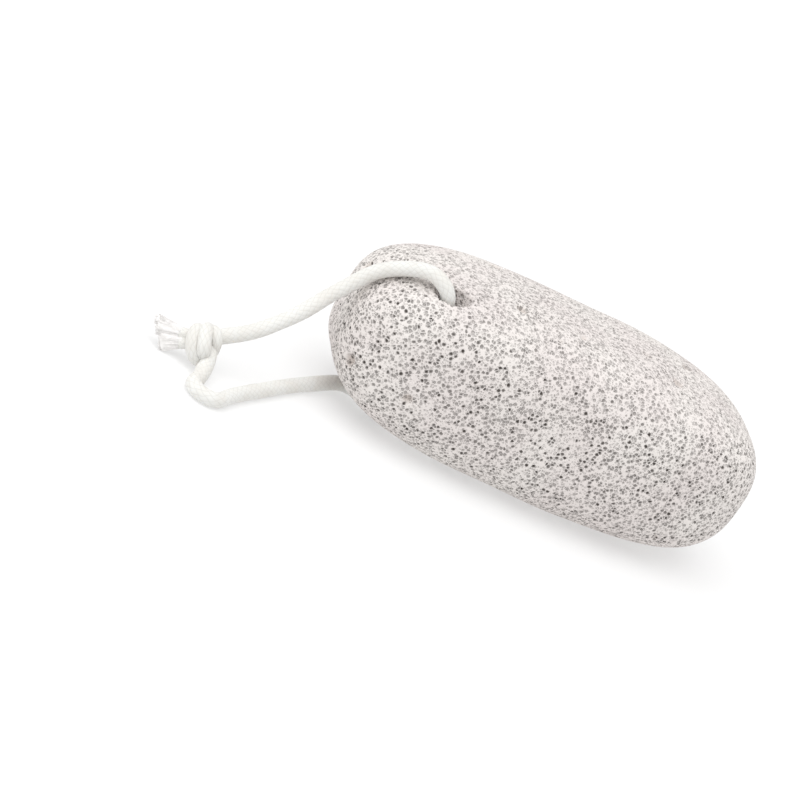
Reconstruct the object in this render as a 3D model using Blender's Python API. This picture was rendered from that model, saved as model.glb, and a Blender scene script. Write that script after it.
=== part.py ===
"""A bath pumice stone with a bored hole at one end and a knotted loop of cord.

Metres, +Z up. The stone lies flat on z = 0, with the origin under its middle and its
length along X. The cord runs from the knot over the stone's end, down the hole, out
underneath and back along the floor to the knot.
"""

import math
import random

import bmesh
import bpy
import numpy as np
from mathutils import Matrix, Vector, noise

MM = 0.001

# Stone: a rounded block, whose plan and section are superellipses
HALF_LENGTH = 49.4 * MM
HALF_WIDTH = 23.4 * MM
HALF_HEIGHT = 19.3 * MM
HOLE_END_POWER = 3.54
FAR_END_POWER = 3
SECTION_POWER = 3.1
WIDTH_TAPER = 0.06
REST_DEPTH = 0.2 * MM  # ground off the underside, so that it rests on a flat
CENTRE_HEIGHT = HALF_HEIGHT - REST_DEPTH
CELL = 3.5 * MM
LUMP_HEIGHT = 0.35 * MM
LUMP_SIZE = 14 * MM
CELL_JITTER = 0.22

# Pits: the larger pores, each an eight-sided cone sunk into one cell of the surface
PIT_COUNT = 225
PIT_DEPTH = (0.8 * MM, 1.5 * MM)
PIT_RADIUS = (0.26, 0.38)  # as a share of the cell's width
PIT_INSET = 0.25
PIT_FREE_REST = 7 * MM
PIT_FREE_HOLE = 7.5 * MM

# Hole, bored at a slant towards the middle line
HOLE_TOP = Vector((-33.65, -11.2, 0)) * MM
HOLE_FOOT = Vector((-33.9, -3.3, 0)) * MM
HOLE_RADIUS = 3 * MM
LIP_RADIUS = 3.2 * MM
LIP_STRETCH = 1.35  # along X, where the cord has worn the rim
LIP_DEPTH = 7.4 * MM
FOOT_RADIUS = 4.8 * MM
FOOT_DEPTH = 6.4 * MM
FOOT_SHIFT = Vector((-0.6, 1.2, 0)) * MM  # worn towards the side that the cord leaves by
MOUTH_MARGIN = 3 * MM
HOLE_SIDES = 20

# Worn hollow under the end, where the cord leaves the hole
HOLLOW_START = Vector((-35, -1.3, 0)) * MM
HOLLOW_END = Vector((-39.5, 1.9, 0)) * MM
HOLLOW_DEPTH = 2.7 * MM
HOLLOW_WIDTH = 4.8 * MM

# Cord
CORD_DIAMETER = 3.2 * MM
CORD_POINTS = 70
CORD_BEVEL_RESOLUTION = 2
CORD_ROUTE_MM = [
    (-72.1, -13.7, 7.8),
    (-67.8, -11.8, 9.6),
    (-62.9, -9.4, 13.0),
    (-58.3, -7.1, 17.5),
    (-55.0, -5.4, 21.8),
    (-51.7, -4.4, 26.2),
    (-48.7, -4.3, 30.4),
    (-45.4, -5.3, 33.5),
    (-42.4, -7.0, 35.8),
    (-39.5, -9.1, 37.2),
    (-36.9, -10.5, 36.6),
    (-35.3, -10.9, 35.3),
    (-34.2, -10.9, 33.1),
    (-34.3, -10.2, 29.7),
    (-34.2, -9.0, 25.0),
    (-34.1, -7.6, 19.0),
    (-34.1, -6.1, 12.0),
    (-34.2, -4.9, 7.0),
    (-34.3, -3.5, 4.1),
    (-34.7, -1.3, 2.2),
    (-36.0, 0.9, 1.65),
    (-38.3, 2.0, 1.65),
    (-40.9, 1.5, 1.65),
    (-43.3, -0.2, 1.65),
    (-45.9, -2.6, 1.65),
    (-48.9, -5.4, 1.65),
    (-53.0, -9.3, 1.65),
    (-59.4, -16.1, 1.65),
    (-65.7, -22.9, 1.65),
    (-69.7, -27.9, 1.65),
    (-71.0, -29.7, 1.65),
    (-72.7, -30.9, 1.65),
    (-74.7, -30.8, 1.65),
    (-76.3, -29.6, 1.65),
    (-76.9, -27.7, 1.65),
    (-75.7, -24.6, 1.75),
    (-74.8, -21.6, 2.5),
]

# Knot and its frayed ends
KNOT_CENTRE = Vector((-76, -16.3, 5)) * MM
KNOT_RADII = (3.5 * MM, 3.9 * MM, 4.3 * MM)
WRAP_RADIUS = 3.0 * MM
WRAP_TUBE = 1.45 * MM
WRAP_TILTS_DEG = [(62, 0, 20), (90, 0, -52)]
TAIL_ROOT = Vector((-78.5, -16.5, 5.4)) * MM
TAIL_TIP = Vector((-84.9, -16.9, 3.9)) * MM
TAIL_ROOT_RADII = (2.2 * MM, 1.7 * MM)
TAIL_TIP_RADII = (3.7 * MM, 1.9 * MM)
TAIL_SIDES = 14


def clear_scene():
    for obj in list(bpy.data.objects):
        bpy.data.objects.remove(obj, do_unlink=True)


def material(name, colour, roughness):
    made = bpy.data.materials.new(name)
    made.use_nodes = True
    shader = made.node_tree.nodes["Principled BSDF"]
    shader.inputs["Base Color"].default_value = (*colour, 1)
    shader.inputs["Roughness"].default_value = roughness
    shader.inputs["Metallic"].default_value = 0
    return made


def add_object(name, mesh, look=None):
    obj = bpy.data.objects.new(name, mesh)
    bpy.context.scene.collection.objects.link(obj)
    if look:
        mesh.materials.append(look)
    return obj


def mesh_of(bm, name):
    mesh = bpy.data.meshes.new(name)
    bm.to_mesh(mesh)
    bm.free()
    return mesh


def hide_helper(obj):
    obj.hide_render = True
    obj.display_type = "WIRE"


def add_boolean(obj, other, operation):
    cut = obj.modifiers.new(f"{operation.title()} {other.name}", "BOOLEAN")
    cut.operation = operation
    cut.object = other
    cut.solver = "EXACT"
    hide_helper(other)


def stone_point(direction):
    """The point where a line from the stone's centre along this direction leaves it."""
    power = HOLE_END_POWER if direction.x < 0 else FAR_END_POWER
    reach = abs(direction.x) / HALF_LENGTH
    side = abs(direction.y) / HALF_WIDTH
    plan = (reach**power + side**power) ** (1 / power)
    rise = abs(direction.z) / HALF_HEIGHT
    point = direction / (plan**SECTION_POWER + rise**SECTION_POWER) ** (1 / SECTION_POWER)
    point.y *= 1 + WIDTH_TAPER * point.x / HALF_LENGTH
    return point


def hollow_at(point):
    """How far the underside is worn away above this point of the floor."""
    run = HOLLOW_END - HOLLOW_START
    flat = Vector((point.x, point.y, 0))
    along = min(max((flat - HOLLOW_START).dot(run) / run.length_squared, 0), 1)
    distance = (flat - HOLLOW_START - run * along).length
    return HOLLOW_DEPTH * math.exp(-((distance / HOLLOW_WIDTH) ** 2))


def hole_centre(height):
    """The hole's axis at this height above the floor, as a point of the floor."""
    return HOLE_FOOT.lerp(HOLE_TOP, height / (2 * CENTRE_HEIGHT))


def shape_surface(bm, rng):
    """Turns a gridded block into the stone's rounded and slightly lumpy form."""
    for vertex in bm.verts:
        shift = Vector([rng.uniform(-1, 1) * CELL * CELL_JITTER for _ in range(3)])
        point = stone_point(vertex.co + shift)
        lump = noise.noise(point / LUMP_SIZE) * LUMP_HEIGHT
        point += point.normalized() * lump
        point.z += CENTRE_HEIGHT
        if point.z < CENTRE_HEIGHT:
            point.z = max(point.z, 0) + hollow_at(point)
        vertex.co = point


def sink_pits(bm, rng):
    """Sinks a pit into cells chosen at random, no two of which touch."""
    bm.faces.ensure_lookup_table()
    taken = set()
    chosen = []
    for face in rng.sample(list(bm.faces), len(bm.faces)):
        middle = face.calc_center_median()
        flat = Vector((middle.x, middle.y, 0))
        near_hole = (flat - hole_centre(middle.z)).length < PIT_FREE_HOLE
        near_rest = middle.z < CENTRE_HEIGHT / 2 and flat.length < PIT_FREE_REST
        near_hollow = middle.z < CENTRE_HEIGHT / 2 and hollow_at(middle) > HOLLOW_DEPTH / 4
        if near_hole or near_rest or near_hollow or taken & set(face.verts):
            continue
        taken.update(face.verts)
        chosen.append(face)
        if len(chosen) == PIT_COUNT:
            break
    for face in chosen:
        inward = -face.normal
        middle = face.calc_center_median()
        width = math.sqrt(face.calc_area())
        radius = rng.uniform(*PIT_RADIUS) * width
        depth = rng.uniform(*PIT_DEPTH)
        bmesh.ops.inset_individual(bm, faces=[face], thickness=PIT_INSET * width)
        bmesh.ops.subdivide_edges(bm, edges=list(face.edges), cuts=1)
        for vertex in face.verts:
            vertex.co = middle + (vertex.co - middle).normalized() * radius
        tip = bmesh.ops.poke(bm, faces=[face])["verts"]
        bmesh.ops.translate(bm, verts=tip, vec=inward * depth)


def block(size, cell):
    """A closed block of square cells, centred on the origin."""
    bm = bmesh.new()
    bmesh.ops.create_cube(bm, size=1, matrix=Matrix.Diagonal((*size, 1)))
    for axis, length in enumerate(size):
        steps = round(length / cell)
        normal = Vector((0, 0, 0))
        normal[axis] = 1
        for step in range(1, steps):
            place = normal * (length * step / steps - length / 2)
            parts = list(bm.verts) + list(bm.edges) + list(bm.faces)
            bmesh.ops.bisect_plane(bm, geom=parts, plane_co=place, plane_no=normal)
    return bm


def close_tube(bm, loops):
    """Faces between neighbouring loops of vertices, and a cap at each end."""
    sides = len(loops[0])
    for low, high in zip(loops, loops[1:]):
        for i in range(sides):
            j = (i + 1) % sides
            bm.faces.new((low[i], low[j], high[j], high[i]))
    bm.faces.new(loops[0])
    bm.faces.new(loops[-1])
    bmesh.ops.recalc_face_normals(bm, faces=list(bm.faces))


def hole_cutter():
    """The slanted bore, with a wider mouth at each end."""
    top = 2 * CENTRE_HEIGHT
    rings = [
        (FOOT_RADIUS, 1, -MOUTH_MARGIN, FOOT_SHIFT),
        (FOOT_RADIUS, 1, FOOT_DEPTH / 4, FOOT_SHIFT),
        (HOLE_RADIUS, 1, FOOT_DEPTH, Vector()),
        (HOLE_RADIUS, 1, top - LIP_DEPTH, Vector()),
        (LIP_RADIUS, LIP_STRETCH, top - LIP_DEPTH / 5, Vector()),
        (LIP_RADIUS, LIP_STRETCH, top + MOUTH_MARGIN, Vector()),
    ]
    bm = bmesh.new()
    loops = []
    for radius, stretch, height, shift in rings:
        centre = hole_centre(height) + shift + Vector((0, 0, height))
        angles = [math.tau * i / HOLE_SIDES for i in range(HOLE_SIDES)]
        offsets = [Vector((math.cos(a) * stretch, math.sin(a), 0)) * radius for a in angles]
        loops.append([bm.verts.new(centre + offset) for offset in offsets])
    close_tube(bm, loops)
    return add_object("hole_cutter", mesh_of(bm, "hole_cutter"))


def add_stone():
    rng = random.Random(7)
    bm = block((2 * HALF_LENGTH, 2 * HALF_WIDTH, 2 * HALF_HEIGHT), CELL)
    shape_surface(bm, rng)
    bmesh.ops.recalc_face_normals(bm, faces=list(bm.faces))
    sink_pits(bm, rng)
    look = material("Pumice", (0.62, 0.58, 0.56), 0.95)
    stone = add_object("pumice_stone", mesh_of(bm, "pumice_stone"), look)
    add_boolean(stone, hole_cutter(), "DIFFERENCE")


def smooth_path(points, count):
    """Evenly spaced points on the natural cubic spline through these points."""
    knots = np.concatenate([[0], np.cumsum(np.linalg.norm(np.diff(points, axis=0), axis=1))])
    gaps = np.diff(knots)
    size = len(points)
    system = np.eye(size)
    right = np.zeros((size, 3))
    for i in range(1, size - 1):
        system[i, i - 1 : i + 2] = gaps[i - 1], 2 * (gaps[i - 1] + gaps[i]), gaps[i]
        slopes = (points[i + 1] - points[i]) / gaps[i] - (points[i] - points[i - 1]) / gaps[i - 1]
        right[i] = 6 * slopes
    bends = np.linalg.solve(system, right)

    def at(s):
        i = min(int(np.searchsorted(knots, s, side="right")) - 1, size - 2)
        low = s - knots[i]
        high = knots[i + 1] - s
        cubic = (bends[i] * high**3 + bends[i + 1] * low**3) / (6 * gaps[i])
        start = points[i] / gaps[i] - bends[i] * gaps[i] / 6
        end = points[i + 1] / gaps[i] - bends[i + 1] * gaps[i] / 6
        return cubic + start * high + end * low

    fine = np.array([at(s) for s in np.linspace(0, knots[-1], 20 * count)])
    run = np.concatenate([[0], np.cumsum(np.linalg.norm(np.diff(fine, axis=0), axis=1))])
    wanted = np.linspace(0, run[-1], count)
    return np.stack([np.interp(wanted, run, fine[:, k]) for k in range(3)], axis=1)


def add_cord(look):
    path = smooth_path(np.array(CORD_ROUTE_MM) * MM, CORD_POINTS)
    curve = bpy.data.curves.new("cord", "CURVE")
    curve.dimensions = "3D"
    curve.bevel_depth = CORD_DIAMETER / 2
    curve.bevel_resolution = CORD_BEVEL_RESOLUTION
    curve.use_fill_caps = True
    spline = curve.splines.new("POLY")
    spline.points.add(len(path) - 1)
    for point, place in zip(spline.points, path):
        point.co = (*place, 1)
    spline.use_smooth = True
    return add_object("cord", curve, look)


def ellipsoid(name, centre, radii):
    bm = bmesh.new()
    place = Matrix.Translation(centre) @ Matrix.Diagonal((*radii, 1))
    bmesh.ops.create_uvsphere(bm, u_segments=16, v_segments=10, radius=1, matrix=place)
    return add_object(name, mesh_of(bm, name))


def ring(name, centre, tilt_deg):
    """A turn of the cord round the knot, as a torus."""
    bm = bmesh.new()
    profile = bmesh.ops.create_circle(
        bm, segments=8, radius=WRAP_TUBE, matrix=Matrix.Rotation(math.pi / 2, 4, "X")
    )["verts"]
    bmesh.ops.translate(bm, verts=profile, vec=(WRAP_RADIUS, 0, 0))
    bmesh.ops.spin(
        bm,
        geom=profile + list(bm.edges),
        cent=(0, 0, 0),
        axis=(0, 0, 1),
        angle=math.tau,
        steps=18,
    )
    bmesh.ops.remove_doubles(bm, verts=list(bm.verts), dist=0.01 * MM)
    tilt = Matrix.Identity(4)
    for angle, axis in zip(tilt_deg, "XYZ"):
        tilt = Matrix.Rotation(math.radians(angle), 4, axis) @ tilt
    bm.transform(Matrix.Translation(centre) @ tilt)
    bmesh.ops.recalc_face_normals(bm, faces=list(bm.faces))
    return add_object(name, mesh_of(bm, name))


def tail(name):
    """The two frayed ends, lying together as one brush that widens to its tip."""
    bm = bmesh.new()
    loops = []
    ends = ((TAIL_ROOT, TAIL_ROOT_RADII), (TAIL_TIP, TAIL_TIP_RADII))
    for centre, (high, wide) in ends:
        loop = []
        for i in range(TAIL_SIDES):
            angle = math.tau * i / TAIL_SIDES
            offset = Vector((0, wide * math.cos(angle), high * math.sin(angle)))
            loop.append(bm.verts.new(centre + offset))
        loops.append(loop)
    close_tube(bm, loops)
    return add_object(name, mesh_of(bm, name))


def add_knot(look):
    knot = ellipsoid("knot", KNOT_CENTRE, KNOT_RADII)
    knot.data.materials.append(look)
    for i, tilt_deg in enumerate(WRAP_TILTS_DEG):
        add_boolean(knot, ring(f"knot_turn_{i + 1}", KNOT_CENTRE, tilt_deg), "UNION")
    add_boolean(knot, tail("knot_tail"), "UNION")
    knot.data.shade_smooth()


clear_scene()
add_stone()
add_cord(material("Cord", (0.80, 0.78, 0.74), 0.8))
add_knot(material("Knot", (0.80, 0.78, 0.74), 0.8))
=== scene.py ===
import math

import bmesh
import bpy
import numpy as np
from mathutils import Matrix, Vector, noise


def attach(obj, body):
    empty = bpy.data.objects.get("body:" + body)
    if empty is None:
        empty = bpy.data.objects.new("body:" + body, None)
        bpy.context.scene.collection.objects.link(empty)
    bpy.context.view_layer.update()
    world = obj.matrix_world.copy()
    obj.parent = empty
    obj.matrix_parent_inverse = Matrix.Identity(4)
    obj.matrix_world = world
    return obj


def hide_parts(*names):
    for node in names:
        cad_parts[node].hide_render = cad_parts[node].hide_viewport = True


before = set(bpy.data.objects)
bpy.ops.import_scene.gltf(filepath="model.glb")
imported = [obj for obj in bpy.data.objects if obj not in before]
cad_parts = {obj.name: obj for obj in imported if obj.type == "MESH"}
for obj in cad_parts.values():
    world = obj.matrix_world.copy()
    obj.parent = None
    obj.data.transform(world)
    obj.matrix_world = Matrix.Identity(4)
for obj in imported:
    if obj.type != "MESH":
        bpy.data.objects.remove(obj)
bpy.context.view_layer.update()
mm = 0.001


class Wire:
    # one socket of a node tree: sums and products on it add their Math nodes
    def __init__(self, tree, socket=None):
        self.tree = tree
        self.socket = socket

    def node(self, kind, settings=None, inputs=None, output=0):
        made = self.tree.nodes.new(kind)
        for name, value in (settings or {}).items():
            setattr(made, name, value)
        for name, value in (inputs or {}).items():
            if isinstance(value, Wire):
                self.tree.links.new(value.socket, made.inputs[name])
            else:
                made.inputs[name].default_value = value
        return Wire(self.tree, made.outputs[output] if len(made.outputs) else None)

    def out(self, name):
        return Wire(self.tree, self.socket.node.outputs[name])

    def feed(self, socket):
        self.tree.links.new(self.socket, socket)

    def math(self, operation, a, b=0.0):
        return self.node("ShaderNodeMath", {"operation": operation}, {0: a, 1: b})

    def __add__(self, other):
        return self.math("ADD", self, other)

    def __sub__(self, other):
        return self.math("SUBTRACT", self, other)

    def __rsub__(self, other):
        return self.math("SUBTRACT", other, self)

    def __mul__(self, other):
        return self.math("MULTIPLY", self, other)

    def __pow__(self, other):
        return self.math("POWER", self, other)

    __radd__ = __add__
    __rmul__ = __mul__

    def most(self, other):
        return self.math("MAXIMUM", self, other)

    def fade(self, start, end):
        # 0 at start and 1 at end, with soft shoulders
        settings = {"interpolation_type": "SMOOTHSTEP"}
        return self.node("ShaderNodeMapRange", settings, {0: self, 1: start, 2: end})

    def vector(self, operation, a, b):
        return self.node("ShaderNodeVectorMath", {"operation": operation}, {0: a, 1: b})

    def scaled(self, vector, share):
        # a vector times a number
        settings = {"operation": "SCALE"}
        return self.node("ShaderNodeVectorMath", settings, {0: vector, "Scale": share})

    def parts(self, vector):
        return self.node("ShaderNodeSeparateXYZ", {}, {0: vector})

    def grain(self, place, scale, detail=2.0):
        # a soft random value from 0 to 1
        inputs = {"Vector": place, "Scale": scale, "Detail": detail}
        return self.node("ShaderNodeTexNoise", {}, inputs)

    def blend(self, low, high):
        # the colour low where this is 0, and high where it is 1
        settings = {"data_type": "RGBA"}
        inputs = {0: self, 6: low, 7: high}
        return self.node("ShaderNodeMix", settings, inputs, output=2)


def srgb(red, green, blue):
    # a colour given as 0 to 255 screen values, in linear light
    def linear(value):
        share = value / 255
        return share / 12.92 if share <= 0.04045 else ((share + 0.055) / 1.055) ** 2.4

    return (linear(red), linear(green), linear(blue), 1.0)


def grey(value):
    return (value, value, value, 1.0)


def newMaterial(name, values):
    # a material whose shader has these values all over
    made = bpy.data.materials.new(name)
    made.use_nodes = True
    shader = made.node_tree.nodes["Principled BSDF"]
    for label, value in values.items():
        shader.inputs[label].default_value = value
    return made, Wire(made.node_tree), shader


def addBump(wire, shader, finish, height):
    strength, distance = finish["bumpStrength"], finish["bumpDistance"]
    inputs = {"Strength": strength, "Distance": distance, "Height": height}
    wire.node("ShaderNodeBump", {}, inputs).feed(shader.inputs["Normal"])


def newPiece(name, mesh):
    piece = bpy.data.objects.new(name, mesh)
    bpy.context.scene.collection.objects.link(piece)
    return piece


def plainMesh(piece, name):
    # the evaluated piece as a mesh of its own, with its modifiers used up
    graph = bpy.context.evaluated_depsgraph_get()
    mesh = bpy.data.meshes.new_from_object(piece.evaluated_get(graph))
    mesh.name = name
    piece.modifiers.clear()
    piece.data = mesh
    return piece


# the camera's place, what it looks at and its lens
view = {
    "place": Vector((-217.0, -505.9, 226.0)) * mm,
    "target": Vector((-26.6, 2.7, 3.4)) * mm,
    "rollDeg": 32.2,
    "lens": 123.3,
    "sensor": 36.0,
    "nearest": 0.01,
}


def addCamera():
    data = bpy.data.cameras.new("camera")
    data.lens = view["lens"]
    data.sensor_width = view["sensor"]
    data.clip_start = view["nearest"]
    camera = bpy.data.objects.new("camera", data)
    bpy.context.scene.collection.objects.link(camera)
    look = (view["target"] - view["place"]).to_track_quat("-Z", "Y").to_matrix().to_4x4()
    roll = Matrix.Rotation(math.radians(view["rollDeg"]), 4, "Z")
    camera.matrix_world = Matrix.Translation(view["place"]) @ look @ roll
    bpy.context.scene.camera = camera


addCamera()
print("camera set")


# the cord's size and plait
cordShape = {
    "diameter": 3.2 * mm,
    "ringStep": 0.28 * mm,
    "sides": 40,
    "strands": 8,
    "pitch": 1.75 * mm,
    "braidHeight": 0.10 * mm,
    "braidMiddle": 0.6,
    "unevenness": 0.07 * mm,
    "unevenSize": 5 * mm,
}
# the middle of the cord, from the knot through the stone and back, in mm
cordRouteMm = [
    (-72.1, -13.7, 7.8),
    (-67.8, -11.8, 9.6),
    (-62.9, -9.4, 13.0),
    (-58.3, -7.1, 17.5),
    (-55.0, -5.4, 21.8),
    (-51.7, -4.4, 26.2),
    (-48.7, -4.3, 30.4),
    (-45.4, -5.3, 33.5),
    (-42.4, -7.0, 35.8),
    (-39.5, -9.1, 37.2),
    (-36.9, -10.5, 36.6),
    (-35.3, -10.9, 35.3),
    (-34.2, -10.9, 33.1),
    (-34.3, -10.2, 29.7),
    (-34.2, -9.0, 25.0),
    (-34.1, -7.6, 19.0),
    (-34.1, -6.1, 12.0),
    (-34.2, -4.9, 7.0),
    (-34.3, -3.5, 4.1),
    (-34.7, -1.3, 2.2),
    (-36.0, 0.9, 1.65),
    (-38.3, 2.0, 1.65),
    (-40.9, 1.5, 1.65),
    (-43.3, -0.2, 1.65),
    (-45.9, -2.6, 1.65),
    (-48.9, -5.4, 1.65),
    (-53.0, -9.3, 1.65),
    (-59.4, -16.1, 1.65),
    (-65.7, -22.9, 1.65),
    (-69.7, -27.9, 1.65),
    (-71.0, -29.7, 1.65),
    (-72.7, -30.9, 1.65),
    (-74.7, -30.8, 1.65),
    (-76.3, -29.6, 1.65),
    (-76.9, -27.7, 1.65),
    (-75.7, -24.6, 1.75),
    (-74.8, -21.6, 2.5),
]


def smoothPath(points, step, finePerPoint=20):
    # evenly spaced points on the natural cubic spline through these points, and its length
    points = np.asarray(points, float)
    knots = np.concatenate([[0], np.cumsum(np.linalg.norm(np.diff(points, axis=0), axis=1))])
    gaps = np.diff(knots)
    size = len(points)
    system = np.eye(size)
    right = np.zeros((size, 3))
    for i in range(1, size - 1):
        system[i, i - 1 : i + 2] = gaps[i - 1], 2 * (gaps[i - 1] + gaps[i]), gaps[i]
        slopes = (points[i + 1] - points[i]) / gaps[i] - (points[i] - points[i - 1]) / gaps[i - 1]
        right[i] = 6 * slopes
    bends = np.linalg.solve(system, right)
    wanted = np.linspace(0, knots[-1], finePerPoint * size)
    cell = np.clip(np.searchsorted(knots, wanted, side="right") - 1, 0, size - 2)
    low = (wanted - knots[cell])[:, None]
    high = (knots[cell + 1] - wanted)[:, None]
    gap = gaps[cell][:, None]
    cubic = (bends[cell] * high**3 + bends[cell + 1] * low**3) / (6 * gap)
    start = points[cell] / gap - bends[cell] * gap / 6
    end = points[cell + 1] / gap - bends[cell + 1] * gap / 6
    fine = cubic + start * high + end * low
    run = np.concatenate([[0], np.cumsum(np.linalg.norm(np.diff(fine, axis=0), axis=1))])
    even = np.linspace(0, run[-1], max(round(run[-1] / step), 2) + 1)
    return np.stack([np.interp(even, run, fine[:, k]) for k in range(3)], axis=1), run[-1]


def pathFrames(path, firstSide=(0.3, 0.2, 1.0)):
    # two directions across the path at each point, carried along it without twisting
    ahead = np.gradient(path, axis=0)
    ahead /= np.linalg.norm(ahead, axis=1, keepdims=True)
    side = np.cross(ahead[0], firstSide)
    sides = []
    for direction in ahead:
        side = side - direction * (side @ direction)
        side = side / np.linalg.norm(side)
        sides.append(side)
    sides = np.array(sides)
    return sides, np.cross(ahead, sides)


def braidHeight(along, around):
    # 0 in the grooves to 1 on the strands of a plaited sleeve, each over one and under one
    rise = along / cordShape["pitch"]
    turn = around * cordShape["strands"]
    first = turn + rise
    second = turn - rise
    over = (np.floor(first) + np.floor(second)) % 2 < 1
    ridge = np.where(over, np.sin(math.pi * first), np.sin(math.pi * second))
    return np.sqrt(np.abs(ridge))


def braidedTube(bm, path, radii):
    # adds a braided tube along the path, with its length and its turn as a UV map
    radii = np.broadcast_to(radii, len(path))
    uvLayer = bm.loops.layers.uv.verify()
    sides, tops = pathFrames(path)
    steps = np.linalg.norm(np.diff(path, axis=0), axis=1)
    along = np.concatenate([[0], np.cumsum(steps)])
    count = cordShape["sides"]
    around = np.arange(count) / count
    grid = []
    for i, centre in enumerate(path):
        swell = noise.noise(Vector(centre) / cordShape["unevenSize"]) * cordShape["unevenness"]
        height = braidHeight(along[i], around) - cordShape["braidMiddle"]
        reach = radii[i] + swell + cordShape["braidHeight"] * height
        angle = math.tau * around
        ring = centre + reach[:, None] * (
            np.cos(angle)[:, None] * sides[i] + np.sin(angle)[:, None] * tops[i]
        )
        grid.append([bm.verts.new(spot) for spot in ring])
    for i in range(len(path) - 1):
        for j in range(count):
            k = (j + 1) % count
            face = bm.faces.new((grid[i][j], grid[i][k], grid[i + 1][k], grid[i + 1][j]))
            face.smooth = True
            spots = ((i, j), (i, j + 1), (i + 1, j + 1), (i + 1, j))
            for loop, (ringIndex, turn) in zip(face.loops, spots):
                loop[uvLayer].uv = (along[ringIndex] / cordShape["diameter"], turn / count)
    for ring, centre in ((grid[0], path[0]), (grid[-1], path[-1])):
        middle = bm.verts.new(centre)
        for j in range(count):
            bm.faces.new((ring[j], ring[(j + 1) % count], middle))


def finishMesh(bm, name):
    # a mesh whose faces all point outwards
    bmesh.ops.recalc_face_normals(bm, faces=list(bm.faces))
    if bm.calc_volume(signed=True) < 0:
        bmesh.ops.reverse_faces(bm, faces=list(bm.faces))
    mesh = bpy.data.meshes.new(name)
    bm.to_mesh(mesh)
    bm.free()
    return mesh


def braidPattern(wire, spot):
    # the same plait as braidHeight gives, on the tube's own map
    parts = wire.parts(spot)
    rise = parts.out("X") * (cordShape["diameter"] / cordShape["pitch"])
    turn = parts.out("Y") * cordShape["strands"]
    first = turn + rise
    second = turn - rise
    cell = wire.math("FLOOR", first) + wire.math("FLOOR", second)
    under = wire.math("FLOORED_MODULO", cell, 2.0)
    firstRidge = wire.math("ABSOLUTE", wire.math("SINE", first * math.pi))
    secondRidge = wire.math("ABSOLUTE", wire.math("SINE", second * math.pi))
    return firstRidge + (secondRidge - firstRidge) * under


cordTint = {
    "strand": srgb(232, 232, 229),
    "strandWarm": srgb(227, 225, 220),
    # painted shade in the braid's grooves
    "grooveShade": srgb(204, 201, 195),
    "fibre": srgb(249, 247, 246),
    # painted shade between the loose fibres
    "fibreGapShade": srgb(241, 239, 237),
}
cordFinish = {
    "all": {
        "Roughness": 0.8,
        "Specular IOR Level": 0.2,
        "Sheen Weight": 0.15,
        "Subsurface Weight": 0.1,
        "Subsurface Radius": (1.0, 0.9, 0.8),
        "Subsurface Scale": 0.8 * mm,
    },
    "fibreScale": 2600.0,
    "fibreDetail": 3.0,
    "fibreHeight": 0.35,
    "patchScale": 220.0,
    "patchFade": (0.3, 0.7),
    # how the painted groove shade fades in, how strong it is, and how the fibre grain varies it
    "grooveShadeFade": (0.0, 0.7),
    "grooveShadeShare": 0.42,
    "grooveShadeLeast": 0.6,
    "grooveShadeGrain": 0.8,
    "strandRoundness": 0.5,
    "bumpStrength": 0.4,
    "bumpDistance": 0.08 * mm,
}
looseFinish = {
    "all": {"Roughness": 0.8, "Specular IOR Level": 0.2, "Sheen Weight": 0.3},
    "streakScale": 1500.0,
    "streakFade": (0.35, 0.65),
    "bumpStrength": 0.4,
    "bumpDistance": 0.05 * mm,
}


def cordMaterial():
    finish = cordFinish
    made, wire, shader = newMaterial("braidedCord", finish["all"])
    place = wire.node("ShaderNodeTexCoord").out("UV")
    body = wire.node("ShaderNodeTexCoord").out("Object")
    fibre = wire.grain(body, finish["fibreScale"], finish["fibreDetail"])
    patches = wire.grain(body, finish["patchScale"]).fade(*finish["patchFade"])
    strand = patches.blend(cordTint["strand"], cordTint["strandWarm"])
    braid = braidPattern(wire, place)
    # painted shade: the colour darkens towards the groove shade between the strands
    grooveShade = (1.0 - braid.fade(*finish["grooveShadeFade"])) * finish["grooveShadeShare"]
    grooveShade = grooveShade * (finish["grooveShadeLeast"] + finish["grooveShadeGrain"] * fibre)
    grooveShade.blend(strand, cordTint["grooveShade"]).feed(shader.inputs["Base Color"])
    height = braid ** finish["strandRoundness"] + finish["fibreHeight"] * fibre
    addBump(wire, shader, finish, height)
    return made


def fibreMaterial():
    # the loose fibres of the frayed ends, whiter than the cord
    made, wire, shader = newMaterial("frayedFibre", looseFinish["all"])
    body = wire.node("ShaderNodeTexCoord").out("Object")
    streak = wire.grain(body, looseFinish["streakScale"])
    # streaks of painted shade, as in the gaps between the fibres
    colour = streak.fade(*looseFinish["streakFade"]).blend(cordTint["fibre"], cordTint["fibreGapShade"])
    colour.feed(shader.inputs["Base Color"])
    addBump(wire, shader, looseFinish, streak)
    return made


def addCord(look):
    path, length = smoothPath(np.array(cordRouteMm) * mm, cordShape["ringStep"])
    bm = bmesh.new()
    braidedTube(bm, path, cordShape["diameter"] / 2)
    cord = newPiece("braidedCord", finishMesh(bm, "braidedCord"))
    cord.data.materials.append(look)
    return cord, path, length


cordLook = cordMaterial()
cord, cordPath, cordLength = addCord(cordLook)
print(f"cord: {cordLength / mm:.0f} mm from knot to knot")


# the knot's place and size
knotShape = {
    "centre": Vector((-76.0, -16.3, 5.0)) * mm,
    # the knot's own axes: from its tails to its loop, across it, and out of its front
    "along": Vector((0.863, -0.107, 0.493)),
    "across": Vector((-0.387, 0.4875, 0.783)),
    "out": Vector((-0.324, -0.8665, 0.379)),
    "floorGap": 0.12 * mm,
    # a strand starts inside the cord this far back, then covers it, and is squeezed in the knot
    "overlap": 4.0 * mm,
    "overlapSpots": 3,
    "coveredAt": 3.0 * mm,
    "hiddenRadius": 1.42 * mm,
    "coverRadius": 1.66 * mm,
    "squeezedAt": 8.5 * mm,
    "squeezedRadius": 1.3 * mm,
}
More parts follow.
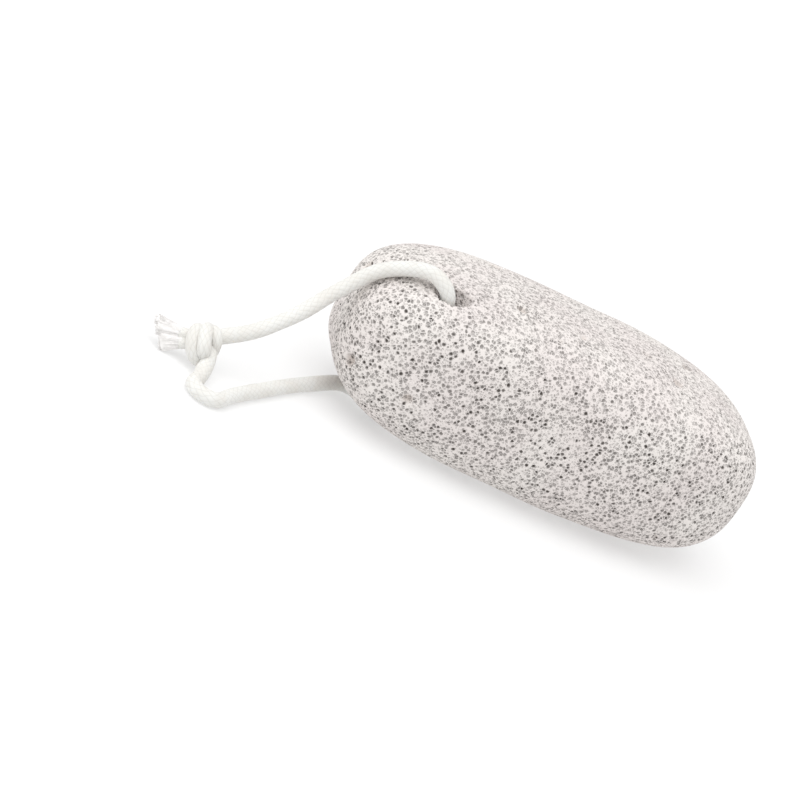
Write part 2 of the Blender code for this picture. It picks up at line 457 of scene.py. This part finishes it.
# the strands and turns of the knot in its own axes, in mm
upperStrandMm = [
    (2.7, 1.5, -1.6),
    (1.0, 1.3, -1.1),
    (-1.0, 1.5, -0.6),
    (-2.9, 2.0, -0.2),
    (-4.9, 2.5, 0.0),
]
lowerStrandMm = [
    (1.0, -3.7, 1.7),
    (1.5, -2.3, 0.6),
    (1.6, -0.9, 0.2),
    (1.0, 0.4, 0.1),
    (-0.6, 0.7, 0.2),
    (-2.6, 0.5, 0.2),
    (-4.9, 0.6, 0.2),
]
knotTurns = {
    "front": {
        "radius": 1.5 * mm,
        "routeMm": [
            (0.6, 1.6, -2.9),
            (0.9, 2.9, -1.6),
            (0.9, 3.1, 0.3),
            (0.7, 2.3, 1.9),
            (0.5, 0.7, 2.8),
            (0.4, -0.8, 2.8),
            (0.2, -1.5, 1.8),
            (-0.1, -1.2, 0.4),
        ],
    },
    "left": {
        "radius": 1.4 * mm,
        "routeMm": [
            (-0.2, 1.2, -2.8),
            (-0.7, 2.7, -1.8),
            (-1.1, 3.1, -0.1),
            (-1.6, 2.4, 1.5),
            (-2.0, 0.6, 2.2),
            (-2.0, -1.2, 2.0),
            (-1.4, -2.6, 1.0),
            (-0.4, -2.9, -0.6),
            (0.6, -1.9, -1.9),
            (1.4, 0.0, -2.5),
        ],
    },
    "right": {
        "radius": 1.3 * mm,
        "routeMm": [
            (-0.8, 1.0, -2.7),
            (0.4, 2.5, -2.2),
            (1.7, 3.0, -0.8),
            (2.6, 2.2, 0.4),
            (2.7, 0.9, 0.6),
            (2.3, -0.4, -0.3),
            (1.5, -1.5, -1.5),
            (0.2, -1.9, -2.4),
        ],
    },
}


def knotPlace(along, across, out):
    # a place in the stone's frame from one along the knot's own axes
    axes = (knotShape["along"], knotShape["across"], knotShape["out"])
    spot = knotShape["centre"] + axes[0] * along + axes[1] * across + axes[2] * out
    return np.array(spot)


def knotRoute(routeMm):
    return [knotPlace(*(np.array(spot) * mm)) for spot in routeMm]


def strandThroughKnot(bm, cordEnd, routeMm):
    # one end of the cord, from over its last stretch to the start of its tail
    path, length = smoothPath([*cordEnd, *knotRoute(routeMm)], cordShape["ringStep"])
    run = np.linspace(0, length, len(path))
    stages = [0, knotShape["coveredAt"], knotShape["overlap"], knotShape["squeezedAt"]]
    cover, squeezed = knotShape["coverRadius"], knotShape["squeezedRadius"]
    radii = np.interp(run, stages, [knotShape["hiddenRadius"], cover, cover, squeezed])
    braidedTube(bm, path, radii)


def addKnot(look, path):
    bm = bmesh.new()
    back = round(knotShape["overlap"] / cordShape["ringStep"])
    skip = back // knotShape["overlapSpots"]
    strandThroughKnot(bm, path[: back + 1][::-1][::skip], upperStrandMm)
    strandThroughKnot(bm, path[-back - 1 :][::skip], lowerStrandMm)
    for turn in knotTurns.values():
        route, _ = smoothPath(knotRoute(turn["routeMm"]), cordShape["ringStep"])
        braidedTube(bm, route, turn["radius"])
    knot = newPiece("cordKnot", finishMesh(bm, "cordKnot"))
    knot.data.materials.append(look)
    return knot


# the two frayed ends: a brush of fibres around a packed core
frayedEnd = {
    "fibres": 340,
    "fibreRadius": 0.075 * mm,
    "fibrePoints": 9,
    "fibreSides": 4,
    "rootRadius": 1.25 * mm,
    "wave": 0.3 * mm,
    "waveSize": 1.6 * mm,
    "raggedness": 0.8 * mm,
    "packing": 0.3,  # lower packs more of the fibres near the brush's rim
    "thinning": 0.35,
    "turnSeed": 0,
    "reachSeed": 10,
    "raggedSeed": 20,
    "tails": [
        {
            "rootMm": (-4.2, 2.5, 0.0),
            "tipMm": (-9.1, 4.2, 0.0),
            "spreadMm": (2.1, 1.2),
            "seed": 3,
        },
        {
            "rootMm": (-4.2, 0.7, 0.2),
            "tipMm": (-8.4, 0.8, 0.3),
            "spreadMm": (2.1, 1.2),
            "seed": 8,
        },
    ],
    "coreShare": 0.92,  # of the brush's width
    "coreRings": 14,
    "coreSides": 40,
    "ridgeHeight": 0.08,
    "ridgeScale": 2.6,
    "ridgeFineness": 2,
    "endPower": 4,  # higher keeps the unevenness of the core nearer its end
}


def fanned(wire, middle, x, y):
    # the middle shifted by x across the knot and by y out of its front
    across = wire.scaled(tuple(knotShape["across"]), x)
    out = wire.scaled(tuple(knotShape["out"]), y)
    return wire.vector("ADD", middle, wire.vector("ADD", across, out))


def frayTree(look):
    # fibres from a round root that fan out to a ragged tip
    tree = bpy.data.node_groups.new("frayedEnd", "GeometryNodeTree")
    for label, kind in (
        ("Geometry", "NodeSocketGeometry"),
        ("Fibres", "NodeSocketInt"),
        ("Fibre radius", "NodeSocketFloat"),
        ("Root", "NodeSocketVector"),
        ("Root radius", "NodeSocketFloat"),
        ("Tip", "NodeSocketVector"),
        ("Tip spread across", "NodeSocketFloat"),
        ("Tip spread out", "NodeSocketFloat"),
        ("Seed", "NodeSocketInt"),
    ):
        tree.interface.new_socket(label, in_out="INPUT", socket_type=kind)
    tree.interface.new_socket("Geometry", in_out="OUTPUT", socket_type="NodeSocketGeometry")
    wire = Wire(tree)
    source = wire.node("NodeGroupInput")

    def chance(low, high, shift):
        # a random number for each fibre
        inputs = {2: low, 3: high, 8: source.out("Seed") + shift}
        return wire.node("FunctionNodeRandomValue", {"data_type": "FLOAT"}, inputs, output=1)

    def stored(points, name, value):
        settings = {"data_type": "FLOAT_VECTOR", "domain": "POINT"}
        inputs = {"Geometry": points, "Name": name, "Value": value}
        return wire.node("GeometryNodeStoreNamedAttribute", settings, inputs)

    def named(name):
        settings = {"data_type": "FLOAT_VECTOR"}
        return wire.node("GeometryNodeInputNamedAttribute", settings, {"Name": name})

    # each fibre's two ends, kept with it
    turn = chance(0.0, math.tau, frayedEnd["turnSeed"])
    reach = chance(0.0, 1.0, frayedEnd["reachSeed"]) ** frayedEnd["packing"]
    x = wire.math("COSINE", turn) * reach
    y = wire.math("SINE", turn) * reach
    rootRadius = source.out("Root radius")
    root = fanned(wire, source.out("Root"), x * rootRadius, y * rootRadius)
    wide, deep = source.out("Tip spread across"), source.out("Tip spread out")
    tip = fanned(wire, source.out("Tip"), x * wide, y * deep)
    most = frayedEnd["raggedness"]
    ragged = wire.scaled(tuple(knotShape["along"]), chance(-most, most, frayedEnd["raggedSeed"]))
    tip = wire.vector("ADD", tip, ragged)
    cloud = wire.node("GeometryNodePoints", {}, {"Count": source.out("Fibres")})
    cloud = stored(stored(cloud, "rootPlace", root), "tipPlace", tip)
    # a short line for each, laid from its root to its tip with a ripple
    line = wire.node("GeometryNodeCurvePrimitiveLine", {}, {"End": (0.0, 0.0, mm)})
    inputs = {"Curve": line, "Count": frayedEnd["fibrePoints"]}
    line = wire.node("GeometryNodeResampleCurve", {}, inputs)
    fibres = wire.node("GeometryNodeInstanceOnPoints", {}, {"Points": cloud, "Instance": line})
    fibres = wire.node("GeometryNodeRealizeInstances", {}, {0: fibres})
    share = wire.node("GeometryNodeSplineParameter")
    inputs = {0: share, 4: named("rootPlace"), 5: named("tipPlace")}
    place = wire.node("ShaderNodeMix", {"data_type": "VECTOR"}, inputs, output=1)
    ripple = wire.grain(place, 1 / frayedEnd["waveSize"]).out("Color")
    ripple = wire.vector("SUBTRACT", ripple, (0.5, 0.5, 0.5))
    place = wire.vector("ADD", place, wire.scaled(ripple, 2 * frayedEnd["wave"] * share))
    parts = wire.parts(place)
    height = parts.out("Z").most(frayedEnd["fibreRadius"] + knotShape["floorGap"])
    inputs = {"X": parts.out("X"), "Y": parts.out("Y"), "Z": height}
    place = wire.node("ShaderNodeCombineXYZ", {}, inputs)
    fibres = wire.node("GeometryNodeSetPosition", {}, {"Geometry": fibres, "Position": place})
    # a thin closed body along each line
    inputs = {"Resolution": frayedEnd["fibreSides"], "Radius": 1.0}
    ring = wire.node("GeometryNodeCurvePrimitiveCircle", {}, inputs)
    thin = source.out("Fibre radius") * (1.0 - frayedEnd["thinning"] * share)
    inputs = {"Curve": fibres, "Profile Curve": ring, "Scale": thin, "Fill Caps": True}
    solid = wire.node("GeometryNodeCurveToMesh", {}, inputs)
    solid = wire.node("GeometryNodeRealizeInstances", {}, {0: solid})
    solid = wire.node("GeometryNodeSetMaterial", {}, {"Geometry": solid, "Material": look})
    wire.node("NodeGroupOutput", {}, {0: solid})
    return tree


def setInputs(modifier, values):
    # a modifier's inputs go by their identifiers
    for item in modifier.node_group.interface.items_tree:
        if item.in_out == "INPUT" and item.name in values:
            modifier[item.identifier] = values[item.name]


def brushCore(tail, low):
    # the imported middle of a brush, with a ridge for each lock of fibres
    root, tip = np.array(tail["rootMm"]) * mm, np.array(tail["tipMm"]) * mm
    start, spread = frayedEnd["rootRadius"], np.array(tail["spreadMm"]) * mm
    scale = frayedEnd["ridgeScale"]
    bm = bmesh.new()
    loops = []
    for share in np.linspace(0, 1, frayedEnd["coreRings"]):
        middle = root + (tip - root) * share
        width = (start + (spread - start) * share) * frayedEnd["coreShare"]
        loop = []
        for turn in np.linspace(0, math.tau, frayedEnd["coreSides"], endpoint=False):
            x, y = math.cos(turn), math.sin(turn)
            seed = Vector((x * scale, y * scale, tail["seed"]))
            fine = noise.noise(seed * frayedEnd["ridgeFineness"])
            ridge = 1 + frayedEnd["ridgeHeight"] * share * fine
            uneven = share ** frayedEnd["endPower"] * noise.noise(seed) * frayedEnd["raggedness"]
            across, out = width * ridge * np.array((x, y))
            spot = knotPlace(middle[0] + uneven, middle[1] + across, middle[2] + out)
            spot[2] = max(spot[2], low)
            loop.append(bm.verts.new(spot))
        loops.append(loop)
    for near, far in zip(loops, loops[1:]):
        for i in range(len(near)):
            bm.faces.new((near[i - 1], near[i], far[i], far[i - 1]))
    bm.faces.new(loops[0])
    bm.faces.new(loops[-1])
    return finishMesh(bm, "brushCore")


def addFrayedEnds(look):
    tree = frayTree(look)
    bm = bmesh.new()
    for tail in frayedEnd["tails"]:
        core = brushCore(tail, knotShape["floorGap"])
        bm.from_mesh(core)
        bpy.data.meshes.remove(core)
    for tail in frayedEnd["tails"]:
        holder = newPiece("frayedEnd", bpy.data.meshes.new("frayedEnd"))
        modifier = holder.modifiers.new("fibres", "NODES")
        modifier.node_group = tree
        spread = np.array(tail["spreadMm"]) * mm
        values = {
            "Fibres": frayedEnd["fibres"],
            "Fibre radius": frayedEnd["fibreRadius"],
            "Root": tuple(knotPlace(*(np.array(tail["rootMm"]) * mm))),
            "Root radius": frayedEnd["rootRadius"],
            "Tip": tuple(knotPlace(*(np.array(tail["tipMm"]) * mm))),
            "Tip spread across": float(spread[0]),
            "Tip spread out": float(spread[1]),
            "Seed": tail["seed"],
        }
        setInputs(modifier, values)
        plainMesh(holder, "frayedEnd")
        bm.from_mesh(holder.data)
        bpy.data.objects.remove(holder, do_unlink=True)
    mesh = bpy.data.meshes.new("frayedEnds")
    bm.to_mesh(mesh)
    bm.free()
    mesh.materials.append(look)
    mesh.shade_smooth()
    return newPiece("frayedEnds", mesh)


knot = addKnot(cordLook, cordPath)
frayed = addFrayedEnds(fibreMaterial())
print(f"knot tied, with {len(frayed.data.polygons)} faces in its frayed ends")


# the stone's size and how its ends and sides are rounded
stone = {
    "halfSize": Vector((49.4, 23.4, 19.3)) * mm,
    "holeEndPower": 3.54,
    "farEndPower": 3.0,
    "sectionPower": 3.1,
    "taper": 0.06,
    "restDepth": 0.2 * mm,
    "lumpHeight": 0.35 * mm,
    "lumpSize": 14 * mm,
    "cell": 1.5 * mm,
    "voxel": 0.47 * mm,
}
# each mouth of the hole keeps its full width over the outermost of its steps
hole = {
    "top": Vector((-33.65, -11.2, 0.0)) * mm,
    "foot": Vector((-33.9, -3.3, 0.0)) * mm,
    "radius": 3.0 * mm,
    "lipRadius": 3.2 * mm,
    "lipStretch": 1.35,
    "lipDepth": 7.4 * mm,
    "lipSteps": 5,
    "footRadius": 4.8 * mm,
    "footDepth": 6.4 * mm,
    "footSteps": 4,
    "footShift": Vector((-0.6, 1.2, 0.0)) * mm,
    "margin": 3 * mm,
    "sides": 48,
}
# where the cord has worn the underside
hollow = {
    "start": Vector((-35.0, -1.3, 0.0)) * mm,
    "end": Vector((-39.5, 1.9, 0.0)) * mm,
    "depth": 2.7 * mm,
    "width": 4.8 * mm,
}
pores = {
    # spacing, where a pore's wall and disc fade as shares of it, and how unevenly they are strewn
    "large": {
        "spacing": 6.0 * mm,
        "wall": (0.04, 0.2),
        "disc": (0.1, 0.3),
        "uneven": 0.9,
        "depth": 1.0 * mm,
    },
    "medium": {
        "spacing": 0.95 * mm,
        "wall": (0.03, 0.2),
        "disc": (0.16, 0.52),
        "uneven": 1.0,
        "depth": 0.4 * mm,
    },
    "small": {
        "spacing": 0.55 * mm,
        "wall": (0.04, 0.28),
        "disc": (0.2, 0.58),
        "uneven": 1.0,
    },
    "largeShare": (0.84, 0.88),  # only the cells with a random value past these are pores
    "mediumLeast": 0.4,
    "mediumMore": 0.6,
    "warp": 0.8 * mm,
    "warpSize": 3.0 * mm,
    "warpDetail": 1.0,
    "restName": "restPlace",
}
stoneTint = {
    "wall": srgb(231, 226, 222),
    "wallWarm": srgb(226, 219, 216),
    # painted shade inside the pores
    "poreShade": srgb(84, 78, 74),
    # painted shade in the large pits
    "pit": srgb(168, 152, 140),
}
stoneFinish = {
    "all": {"Roughness": 0.95, "Specular IOR Level": 0.15},
    "patchScale": 60.0,
    "patchDetail": 3.0,
    "patchFade": (0.35, 0.65),
    "pitShare": 0.45,
    # how much painted shade a pore gets at the least, and how much more at the most
    "smallPoreShade": (0.15, 0.45),
    "mediumPoreShade": (0.45, 0.7),
    # the painted pore shade fades out on the top between these heights, where light from above
    # fills the pores
    "litTopFrom": 30 * mm,
    "litTopTo": 36 * mm,
    "litTopShare": 0.45,
    "smallDepth": 0.4,
    "bumpStrength": 1.0,
    "bumpDistance": 0.35 * mm,
}
centreHeight = stone["halfSize"].z - stone["restDepth"]


def stonePoint(direction):
    # where a line from the stone's middle in this direction leaves it
    power = stone["holeEndPower"] if direction.x < 0 else stone["farEndPower"]
    half = stone["halfSize"]
    ahead, aside, rise = (abs(direction[axis]) / half[axis] for axis in range(3))
    plan = (ahead**power + aside**power) ** (1 / power)
    section = stone["sectionPower"]
    point = direction / (plan**section + rise**section) ** (1 / section)
    point.y *= 1 + stone["taper"] * point.x / half.x
    return point


def hollowAt(point):
    # how far the underside is worn away above this point of the floor
    run = hollow["end"] - hollow["start"]
    flat = Vector((point.x, point.y, 0))
    along = min(max((flat - hollow["start"]).dot(run) / run.length_squared, 0), 1)
    distance = (flat - hollow["start"] - run * along).length
    return hollow["depth"] * math.exp(-((distance / hollow["width"]) ** 2))


def griddedBlock(size, cell):
    # a block cut into cells of about this size
    bm = bmesh.new()
    bmesh.ops.create_cube(bm, size=1, matrix=Matrix.Diagonal((*size, 1)))
    for axis, length in enumerate(size):
        steps = round(length / cell)
        normal = Vector((0, 0, 0))
        normal[axis] = 1
        for step in range(1, steps):
            place = normal * (length * step / steps - length / 2)
            parts = list(bm.verts) + list(bm.edges) + list(bm.faces)
            bmesh.ops.bisect_plane(bm, geom=parts, plane_co=place, plane_no=normal)
    return bm


def stoneBody():
    bm = griddedBlock(2 * stone["halfSize"], stone["cell"])
    for vertex in bm.verts:
        point = stonePoint(vertex.co)
        point += point.normalized() * noise.noise(point / stone["lumpSize"]) * stone["lumpHeight"]
        point.z += centreHeight
        if point.z < centreHeight:
            point.z = max(point.z, 0) + hollowAt(point)
        vertex.co = point
    return newPiece("pumiceStone", finishMesh(bm, "pumiceStone"))


def holeCutter():
    # the slanted bore, with a wider mouth at each end
    top = 2 * centreHeight
    foot, lip = hole["footRadius"], hole["lipRadius"]
    footTop = hole["footDepth"] / hole["footSteps"]
    lipFoot = top - hole["lipDepth"] / hole["lipSteps"]
    rings = [
        (foot, 1, -hole["margin"], hole["footShift"]),
        (foot, 1, footTop, hole["footShift"]),
        (hole["radius"], 1, hole["footDepth"], Vector()),
        (hole["radius"], 1, top - hole["lipDepth"], Vector()),
        (lip, hole["lipStretch"], lipFoot, Vector()),
        (lip, hole["lipStretch"], top + hole["margin"], Vector()),
    ]
    bm = bmesh.new()
    loops = []
    for radius, stretch, height, shift in rings:
        centre = hole["foot"].lerp(hole["top"], height / top) + shift + Vector((0, 0, height))
        angles = [math.tau * i / hole["sides"] for i in range(hole["sides"])]
        offsets = [Vector((math.cos(a) * stretch, math.sin(a), 0)) * radius for a in angles]
        loops.append([bm.verts.new(centre + offset) for offset in offsets])
    for low, high in zip(loops, loops[1:]):
        for i in range(hole["sides"]):
            j = (i + 1) % hole["sides"]
            bm.faces.new((low[i], low[j], high[j], high[i]))
    bm.faces.new(loops[0])
    bm.faces.new(loops[-1])
    return newPiece("holeCutter", finishMesh(bm, "holeCutter"))


def poreLayers(wire, place, names):
    # pores of each named size: 0 on the walls to 1 inside a pore, with a random value for each pore
    warp = wire.grain(place, 1 / pores["warpSize"], pores["warpDetail"]).out("Color")
    shifted = wire.vector("ADD", place, wire.scaled(warp, pores["warp"]))
    found = []
    for name in names:
        size = pores[name]
        inputs = {"Vector": shifted, "Scale": 1 / size["spacing"], "Randomness": size["uneven"]}
        cells = wire.node("ShaderNodeTexVoronoi", {}, inputs)
        walls = wire.node("ShaderNodeTexVoronoi", {"feature": "DISTANCE_TO_EDGE"}, inputs)
        inside = walls.out("Distance").fade(*size["wall"])
        disc = 1.0 - cells.out("Distance").fade(*size["disc"])
        found.append((inside * disc, wire.parts(cells.out("Color")).out(1)))
    return found


def poreTree(look):
    # sinks the large and medium pores into a mesh, and keeps where each of its points was
    tree = bpy.data.node_groups.new("pores", "GeometryNodeTree")
    tree.interface.new_socket("Geometry", in_out="INPUT", socket_type="NodeSocketGeometry")
    for label in ("Large depth", "Medium depth"):
        tree.interface.new_socket(label, in_out="INPUT", socket_type="NodeSocketFloat")
    tree.interface.new_socket("Geometry", in_out="OUTPUT", socket_type="NodeSocketGeometry")
    wire = Wire(tree)
    source = wire.node("NodeGroupInput")
    place = wire.node("GeometryNodeInputPosition")
    settings = {"data_type": "FLOAT_VECTOR", "domain": "POINT"}
    inputs = {"Geometry": source.out("Geometry"), "Name": pores["restName"], "Value": place}
    stored = wire.node("GeometryNodeStoreNamedAttribute", settings, inputs)
    (large, largeChance), (medium, mediumChance) = poreLayers(wire, place, ("large", "medium"))
    large = large * largeChance.fade(*pores["largeShare"])
    medium = medium * (pores["mediumLeast"] + pores["mediumMore"] * mediumChance)
    depth = large * source.out("Large depth") + medium * source.out("Medium depth")
    offset = wire.scaled(wire.node("GeometryNodeInputNormal"), -1.0 * depth)
    moved = wire.node("GeometryNodeSetPosition", {}, {"Geometry": stored, "Offset": offset})
    real = wire.node("GeometryNodeRealizeInstances", {}, {0: moved})
    dressed = wire.node("GeometryNodeSetMaterial", {}, {"Geometry": real, "Material": look})
    wire.node("NodeGroupOutput", {}, {0: dressed})
    return tree


def pumiceMaterial():
    finish = stoneFinish
    made, wire, shader = newMaterial("pumice", finish["all"])
    settings = {"attribute_name": pores["restName"]}
    rest = wire.node("ShaderNodeAttribute", settings, {}, output="Vector")
    layers = poreLayers(wire, rest, ("large", "medium", "small"))
    (large, largeChance), (medium, mediumChance), (small, smallChance) = layers
    patches = wire.grain(rest, finish["patchScale"], finish["patchDetail"])
    wall = patches.fade(*finish["patchFade"]).blend(stoneTint["wall"], stoneTint["wallWarm"])
    large = large * largeChance.fade(*pores["largeShare"])
    # painted shade: the large pores are coloured darker with the pit shade, on top of their sunk
    # depth
    base = (finish["pitShare"] * large).blend(wall, stoneTint["pit"])
    # painted shade: the small and medium pores are coloured darker, as the shade inside them
    small = small * (1.0 - medium)
    least, more = finish["smallPoreShade"]
    smallPoreShade = small * (least + more * smallChance)
    least, more = finish["mediumPoreShade"]
    mediumPoreShade = medium * (least + more * mediumChance * mediumChance)
    height = wire.parts(rest).out("Z")
    # painted light: less pore shade on the top, which the light from above reaches
    litTop = finish["litTopShare"] * height.fade(finish["litTopFrom"], finish["litTopTo"])
    paintedPoreShade = (smallPoreShade + mediumPoreShade) * (1.0 - litTop)
    paintedPoreShade.blend(base, stoneTint["poreShade"]).feed(shader.inputs["Base Color"])
    addBump(wire, shader, finish, 1.0 - medium - finish["smallDepth"] * small)
    return made


def addStone():
    body = stoneBody()
    cutter = holeCutter()
    cut = body.modifiers.new("hole", "BOOLEAN")
    cut.operation = "DIFFERENCE"
    cut.object = cutter
    remesh = body.modifiers.new("even mesh", "REMESH")
    remesh.mode = "VOXEL"
    remesh.voxel_size = stone["voxel"]
    plainMesh(body, "pumiceStone")
    bpy.data.objects.remove(cutter, do_unlink=True)
    sponge = body.modifiers.new("pores", "NODES")
    sponge.node_group = poreTree(pumiceMaterial())
    depths = {"Large depth": pores["large"]["depth"], "Medium depth": pores["medium"]["depth"]}
    setInputs(sponge, depths)
    plainMesh(body, "pumiceStone")
    body.data.shade_smooth()
    print(f"stone: {len(body.data.polygons)} faces")
    return body


pumiceStone = addStone()


# the floor and the lights
studio = {
    "floorSize": 24.0,
    "worldStrength": 0.62,
    "key": {"towards": Vector((-0.25, -0.25, 0.93)), "power": 1.79, "spreadDeg": 70.0},
    "fillSize": 1.2,
    "fillDistance": 0.9,
    "fills": {
        "leftFill": (Vector((-0.95, 0.1, 0.4)), 1.5),
        "rightFill": (Vector((0.9, 0.1, 0.4)), 1.4),
    },
}
# a table lit from below, which keeps the shadows faint
tableFinish = {
    "Base Color": grey(0.5),
    "Roughness": 0.9,
    "Specular IOR Level": 0.0,
    "Emission Color": grey(1.0),
    "Emission Strength": 0.46,
}


def addLamp(name, kind, towards, distance=1.0):
    lamp = bpy.data.lights.new(name, kind)
    holder = bpy.data.objects.new(name, lamp)
    bpy.context.scene.collection.objects.link(holder)
    away = towards.normalized()
    holder.location = away * distance
    holder.rotation_mode = "QUATERNION"
    holder.rotation_quaternion = away.to_track_quat("Z", "Y")
    return lamp


def addStudio():
    bm = bmesh.new()
    bmesh.ops.create_grid(bm, x_segments=1, y_segments=1, size=studio["floorSize"] / 2)
    floor = newPiece("floor", finishMesh(bm, "floor"))
    litTable, _, _ = newMaterial("litTable", tableFinish)
    floor.data.materials.append(litTable)
    world = bpy.data.worlds.new("studio")
    bpy.context.scene.world = world
    world.use_nodes = True
    sky = world.node_tree.nodes["Background"]
    sky.inputs["Strength"].default_value = studio["worldStrength"]
    sky.inputs["Color"].default_value = grey(1.0)
    key = studio["key"]
    sun = addLamp("key", "SUN", key["towards"])
    sun.energy = key["power"]
    sun.angle = math.radians(key["spreadDeg"])
    for name, (towards, power) in studio["fills"].items():
        fill = addLamp(name, "AREA", towards, studio["fillDistance"])
        fill.shape = "DISK"
        fill.size = studio["fillSize"]
        fill.energy = power
    bpy.context.scene.view_settings.view_transform = "Standard"


addStudio()
print("studio set")


# the body, the solid and the material slot of each piece
for piece, nodeName, slotName in (
    (pumiceStone, "pumice_stone", "stone"),
    (cord, "cord", "cord"),
    (knot, "knot", "cord"),
    (frayed, "knot", "cord"),
):
    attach(piece, "root")
    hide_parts(nodeName)
